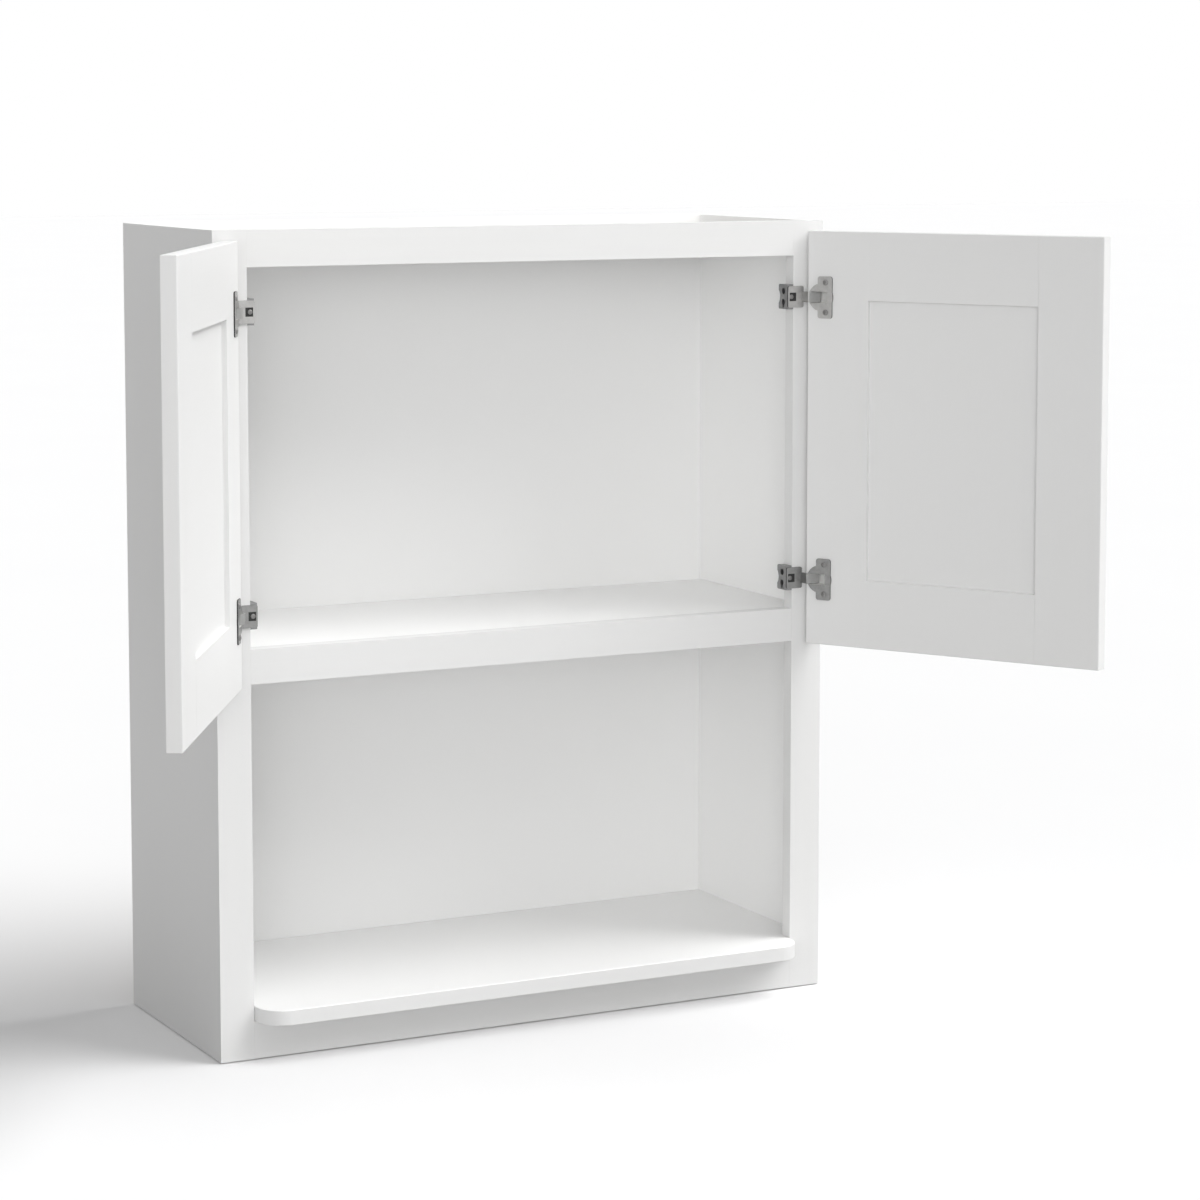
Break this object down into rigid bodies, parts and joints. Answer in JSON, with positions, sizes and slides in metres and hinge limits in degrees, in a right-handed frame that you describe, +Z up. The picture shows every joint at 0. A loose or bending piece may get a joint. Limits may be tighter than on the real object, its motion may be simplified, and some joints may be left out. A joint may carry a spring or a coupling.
{
  "type": "microwave wall cabinet",
  "caption": "Face-framed wall cabinet with panelled doors on wrap-round hinges over an open microwave bay whose shelf runs out through the frame.",
  "frame": {"origin": "middle of the back's lower edge, on the wall plane", "axes": "+Z up, +Y into the wall, so the cabinet faces -Y, +X to the right of someone facing it"},
  "size_m": [1.1164, 0.6224, 0.9144],
  "materials": {
    "painted_wood": "white sprayed satin paint on hardwood",
    "painted_plywood": "white sprayed satin paint on plywood",
    "nickel_plate": "nickel plate on pressed steel",
    "screw_steel": "bright zinc plate",
    "beech": "bare fluted beech"
  },
  "bodies": {
    "cabinet": {"back_panel": "painted_plywood", "bottom_panel": "painted_plywood", "bottom_rail": "painted_wood", "frame_dowels": "beech", "front_shelf_screws": "screw_steel", "left_lower_hinge_adjuster": "screw_steel", "left_lower_hinge_arm": "nickel_plate", "left_lower_hinge_base": "nickel_plate", "left_lower_hinge_base_screws": "screw_steel", "left_side_panel": "painted_plywood", "left_stile": "painted_wood", "left_upper_hinge_adjuster": "screw_steel", "left_upper_hinge_arm": "nickel_plate", "left_upper_hinge_base": "nickel_plate", "left_upper_hinge_base_screws": "screw_steel", "microwave_shelf": "painted_wood", "middle_deck": "painted_plywood", "middle_rail": "painted_wood", "rear_shelf_screws": "screw_steel", "right_lower_hinge_adjuster": "screw_steel", "right_lower_hinge_arm": "nickel_plate", "right_lower_hinge_base": "nickel_plate", "right_lower_hinge_base_screws": "screw_steel", "right_side_panel": "painted_plywood", "right_stile": "painted_wood", "right_upper_hinge_adjuster": "screw_steel", "right_upper_hinge_arm": "nickel_plate", "right_upper_hinge_base": "nickel_plate", "right_upper_hinge_base_screws": "screw_steel", "top_panel": "painted_plywood", "top_rail": "painted_wood"},
    "left_door": {"left_door_bottom_rail": "painted_wood", "left_door_free_stile": "painted_wood", "left_door_hinge_stile": "painted_wood", "left_door_panel": "painted_wood", "left_door_top_rail": "painted_wood", "left_lower_hinge_cup": "nickel_plate", "left_lower_hinge_cup_screws": "screw_steel", "left_lower_hinge_pin": "screw_steel", "left_upper_hinge_cup": "nickel_plate", "left_upper_hinge_cup_screws": "screw_steel", "left_upper_hinge_pin": "screw_steel"},
    "right_door": {"right_door_bottom_rail": "painted_wood", "right_door_free_stile": "painted_wood", "right_door_hinge_stile": "painted_wood", "right_door_panel": "painted_wood", "right_door_top_rail": "painted_wood", "right_lower_hinge_cup": "nickel_plate", "right_lower_hinge_cup_screws": "screw_steel", "right_lower_hinge_pin": "screw_steel", "right_upper_hinge_cup": "nickel_plate", "right_upper_hinge_cup_screws": "screw_steel", "right_upper_hinge_pin": "screw_steel"}
  },
  "joints": [
    {"name": "left_door_hinge", "type": "hinge", "parent": "cabinet", "child": "left_door", "pos_m": [-0.3684, -0.30048, 0.6596], "axis": [0, 0, 1], "range_deg": [0, 120]},
    {"name": "right_door_hinge", "type": "hinge", "parent": "cabinet", "child": "right_door", "pos_m": [0.3684, -0.30048, 0.6596], "axis": [0, 0, -1], "range_deg": [0, 120]}
  ]
}
